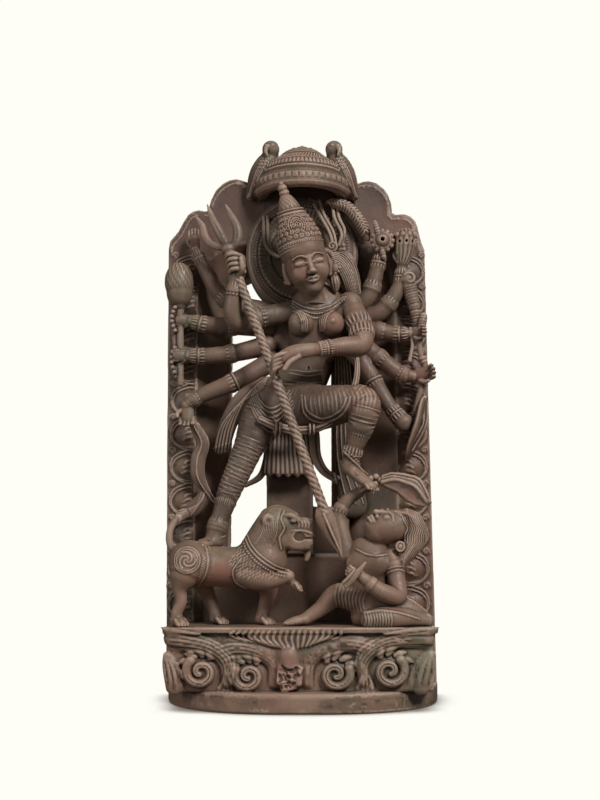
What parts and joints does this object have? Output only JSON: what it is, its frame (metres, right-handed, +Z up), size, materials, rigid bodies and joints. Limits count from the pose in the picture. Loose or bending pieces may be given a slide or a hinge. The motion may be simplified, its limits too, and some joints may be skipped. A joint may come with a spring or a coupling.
{
  "type": "goddess idol",
  "caption": "Carved stone idol of a many-armed goddess spearing a demon from her lion, on a scrolled plinth, in a lobed back frame under an umbrella canopy.",
  "frame": {"origin": "on the flat underside of the foot, on the middle line of the figure, below the back of the plinth", "axes": "+Z up along the height, +X to the viewer's right, -Y towards the viewer who faces the goddess"},
  "size_m": [0.3729, 0.207, 0.772],
  "materials": {
    "stone": "hand-carved soapstone, matt, with worn pale edges and green-grey weathering"
  },
  "bodies": {
    "root": {"carved_idol": "stone"}
  },
  "joints": []
}
